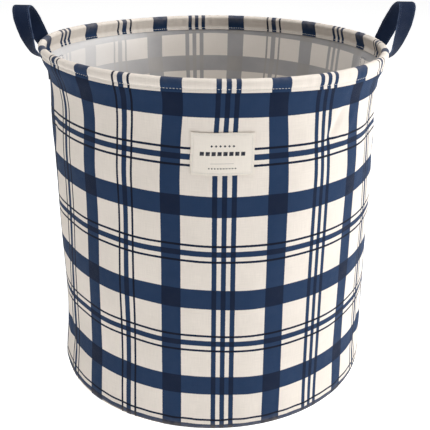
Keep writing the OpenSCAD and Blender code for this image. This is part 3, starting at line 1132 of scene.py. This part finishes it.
def strap_line(side):
    """Middle line and across directions of one handle's strap, from end to end."""
    front, rear = (middle_angle(f"handle_{side}_{end}_end") for end in ("front", "rear"))
    middle = (front + rear) / 2
    low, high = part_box(f"handle_{side}_front_end")
    loop_low, loop_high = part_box(f"handle_{side}_loop")
    hinge_x, hinge_y, _ = joints[f"handle_{side}_swing"]["pos_m"]
    seam_x = math.hypot(hinge_x, hinge_y) - strap_t
    leg_half = seam_x * math.tan(abs(front - rear) / 2)
    reach = max(abs(loop_low.x), abs(loop_high.x)) / abs(math.sin(middle))
    lean = (reach - seam_x - strap_w / 2) * stands[side][0]
    rise = (loop_high.z - seam_line_z - strap_t / 2) * stands[side][1]
    out = around(middle, 1.0, 0.0)
    along = np.array([math.cos(middle), math.sin(middle), 0.0])
    if apart(rear, middle) < 0:
        along = -along
    up = np.array([0.0, 0.0, 1.0])

    a = np.radians(np.linspace(14, 166, 121))
    sway = -leg_half * np.sign(np.cos(a)) * np.abs(np.cos(a)) ** 0.77
    loop = (
        np.outer(seam_x + lean * np.sin(a) ** 0.85, out) + np.outer(sway, along)
        + np.outer(seam_line_z + rise * np.sin(a) ** 1.35, up)
    )
    z = np.linspace(low.z, hem_z - 3 * mm, 18)
    depth = end_gap + pressed_t / 2
    ends = on_wall(front, z, depth), on_wall(rear, z, depth)[::-1]
    line = smoothed(np.concatenate([ends[0], loop, ends[1]]), 4)
    run = lengths(line)
    even = np.linspace(0, run[-1], 220)
    line = smoothed(sampled(even, run, line), 6)
    way = unit(np.gradient(line, axis=0))

    rise_share = clamp((line[:, 2] - seam_line_z) / rise)
    sine = rise_share ** (1 / 1.35)
    twist = np.radians(90 * (1 - sine) ** 1.35)
    towards = np.sign((line - seam_x * out) @ along)
    flat_out = unit(out - (way @ out)[:, None] * way)
    sideways = np.cross(way, flat_out)
    sideways = sideways * np.sign(sideways @ along)[:, None]
    across = unit(np.cos(twist)[:, None] * flat_out - (towards * np.sin(twist))[:, None] * sideways)
    return line, across


def end_lines(side, depth, crossed):
    """The sewn box on each end of a strap, which has a cross in place of its upright sides."""
    lines = []
    half = (strap_w / 2 - end_inset) / waist_r
    across = np.linspace(-1, 1, 30)
    for end in ("front", "rear"):
        node = f"handle_{side}_{end}_end"
        angle = middle_angle(node)
        low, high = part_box(node)
        z = np.linspace(low.z + 1.6 * mm, high.z - 3.2 * mm, 30)
        lines += [wall_line(angle + half * across, height, depth) for height in (z[0], z[-1])]
        for sign in (-1, 1):
            lines.append(wall_line(angle + sign * half * (across if crossed else 1), z, depth))
    return lines


def make_strap(side):
    body = f"handle_{side}"
    line, across = strap_line(side)
    half = line.shape[0] // 2
    # The across direction turns the same way all along, so both legs join without a flip.
    for steps in (range(half, -1, -1), range(half, len(across))):
        for near, k in zip(steps, steps[1:]):
            if across[near] @ across[k] < 0:
                across[k] *= -1
    across = unit(smoothed(across, 8))
    way = unit(np.gradient(line, axis=0))
    across = unit(across - np.sum(across * way, axis=1)[:, None] * way)
    face = np.cross(across, way)
    run = lengths(line)

    s = np.concatenate([np.linspace(-1, 1, 15), np.linspace(1, -1, 15)])
    s = np.sign(s) * np.abs(s) ** 0.8 * strap_w / 2
    upper = np.concatenate([np.ones(15), -np.ones(15)])
    from_edge = strap_w / 2 - np.abs(s)
    lip = np.sqrt(np.clip(from_edge / (0.9 * mm), 0.08, 1))
    groove = 0.16 * mm * np.exp(-((from_edge - edge_inset) / (0.6 * mm)) ** 2)
    sewn_down = 1 - smooth_step(line[:, 2], seam_line_z - 4 * mm, seam_line_z + 6 * mm)[:, None]
    half_t = (strap_t + (pressed_t - strap_t) * sewn_down) / 2
    thick = (half_t * lip - groove) * upper
    width_wave = 1 + 0.012 * np.sin(run * 260 + 1) + 0.008 * np.sin(run * 610)
    points = (
        line[:, None, :] + (s * width_wave[:, None])[..., None] * across[:, None, :]
        + thick[..., None] * face[:, None, :]
    )
    # Paler towards the edges: edge rubbing and a painted highlight along them.
    s_more, wear_and_highlight = np.append(s, s[0]), np.exp(-from_edge / (0.5 * mm))
    uvs = [("Cloth", run[:, None], s_more)]
    piece = loft(f"strap_{side}", points, closed=False, uvs=uvs, wear_and_highlight=wear_and_highlight)
    own(
        piece, None, strap_fabric, "strap", f"handle_{side}_loop",
        f"handle_{side}_front_end", f"handle_{side}_rear_end",
    )

    rows = []
    for edge in (-1, 1):
        for out in (-1, 1):
            offset = edge * (strap_w / 2 - edge_inset) * width_wave
            height = out * (half_t - 0.16 * mm)
            rows.append((line + offset[:, None] * across + height * face, out * face))
    edges = stitches(f"strap_{side}_edge_stitches", rows, 2.8 * mm, 2.0 * mm, 0.22 * mm, 0.26 * mm)
    own(edges, None, navy_thread, "navy_thread", f"handle_{side}_edge_stitching")

    lines = end_lines(side, end_gap + pressed_t + 0.02 * mm, True)
    ends = stitches(f"strap_{side}_end_stitches", lines, *end_stitch)
    own(ends, "rim", navy_thread, "navy_thread", f"handle_{side}_end_stitching")
    hinge = settle(joints[f"{body}_swing"]["pos_m"])
    for bent in (piece, edges):
        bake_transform(bent)


def make_inside_marks(side):
    """The stitches of the strap's ends, seen from inside through the lining."""
    lines = end_lines(side, -cloth_t - coating_t - 0.05 * mm, False)
    sewn = stitches(f"strap_{side}_inside_stitches", lines, *end_stitch)
    own(sewn, "bin", navy_thread, "navy_thread")
    squashed(sewn)


def settled_copy(name, node, material, slot):
    """A CAD node's own shape, moved with the crooked hoop."""
    mesh = frame["nodes"][node].data.copy()
    mesh.name = name
    mesh.materials.clear()
    mesh.vertices.foreach_set("co", settle(corners(node)).astype(np.float32).ravel())
    return own(placed(name, mesh), "rim", material, slot, node)


def make_hoop():
    """The wire ring in the hem, and the tube crimped over its two ends."""
    steel = metal("drawn_steel", srgb(188, 190, 194), (1, 1, 12))
    tube = metal("crimped_tube", srgb(206, 208, 210), (6, 6, 1))
    settled_copy("hoop_wire", "rim_wire", steel, "hoop_steel")
    settled_copy("hoop_sleeve", "wire_sleeve", tube, "sleeve_metal")


# ---- floor, light, camera

def make_floor():
    mesh = bpy.data.meshes.new("floor")
    size, drop = 6.0, 0.3 * mm
    spots = [(x * size, y * size, -drop) for x, y in ((-1, -1), (1, -1), (1, 1), (-1, 1))]
    mesh.from_pydata(spots, [], [(0, 1, 2, 3)])
    paint = Paint("pale_floor", Roughness=0.6, Specular_IOR_Level=0.2, Emission_Strength=0.81)
    paint.shader.inputs["Emission Color"].default_value = (1, 1, 1, 1)
    place = paint.add("ShaderNodeTexCoord").outputs["Object"]
    tone = paint.mix(paint.noise(place, 2.5, 2), srgb(250, 250, 250), srgb(247, 247, 247))
    paint.put(paint.shader.inputs["Base Color"], tone)
    mesh.materials.append(paint.material)
    floor = placed("floor", mesh)


def soft_light(name, place, aim, size, power):
    lamp = bpy.data.lights.new(name, "AREA")
    lamp.shape = "DISK"
    lamp.size, lamp.energy = size, power
    holder = placed(name, lamp)
    holder.location = place
    holder.rotation_euler = (Vector(aim) - Vector(place)).to_track_quat("-Z", "Y").to_euler()


def make_studio():
    scene = bpy.context.scene
    world = bpy.data.worlds.new("studio")
    world.use_nodes = True
    background = world.node_tree.nodes["Background"]
    background.inputs["Color"].default_value = (1.0, 1.0, 1.0, 1)
    background.inputs["Strength"].default_value = 0.14
    scene.world = world
    middle = (0, 0, 0.22)
    soft_light("key", (1.55, -0.15, 0.95), middle, 1.4, 23)
    soft_light("top", (-0.05, -0.2, 1.8), middle, 1.3, 20)
    scene.view_settings.view_transform = "Standard"
    scene.view_settings.look = "None"


camera_round = math.radians(-2.25)
camera_away = 0.8224
camera_height = 0.5505
camera_down = math.radians(24.44)
camera_turn = math.radians(-0.09)
camera_roll = math.radians(0.5)
camera_lens = 58.78


def make_camera():
    data = bpy.data.cameras.new("camera")
    data.sensor_width = 36
    data.lens = camera_lens
    data.clip_start = 0.05
    camera = placed("camera", data)
    place = Matrix.Translation((
        camera_away * math.sin(camera_round), -camera_away * math.cos(camera_round), camera_height
    ))
    heading = Matrix.Rotation(camera_round + camera_turn, 4, "Z")
    tilt = Matrix.Rotation(math.pi / 2 - camera_down, 4, "X")
    camera.matrix_world = place @ heading @ tilt @ Matrix.Rotation(camera_roll, 4, "Z")
    bpy.context.scene.camera = camera


make_camera()
make_floor()
make_studio()
make_hoop()
make_wall()
make_side_seam()
make_base()
make_binding()
make_hem()
make_label()
for handle_side in ("left", "right"):
    make_strap(handle_side)
    make_inside_marks(handle_side)
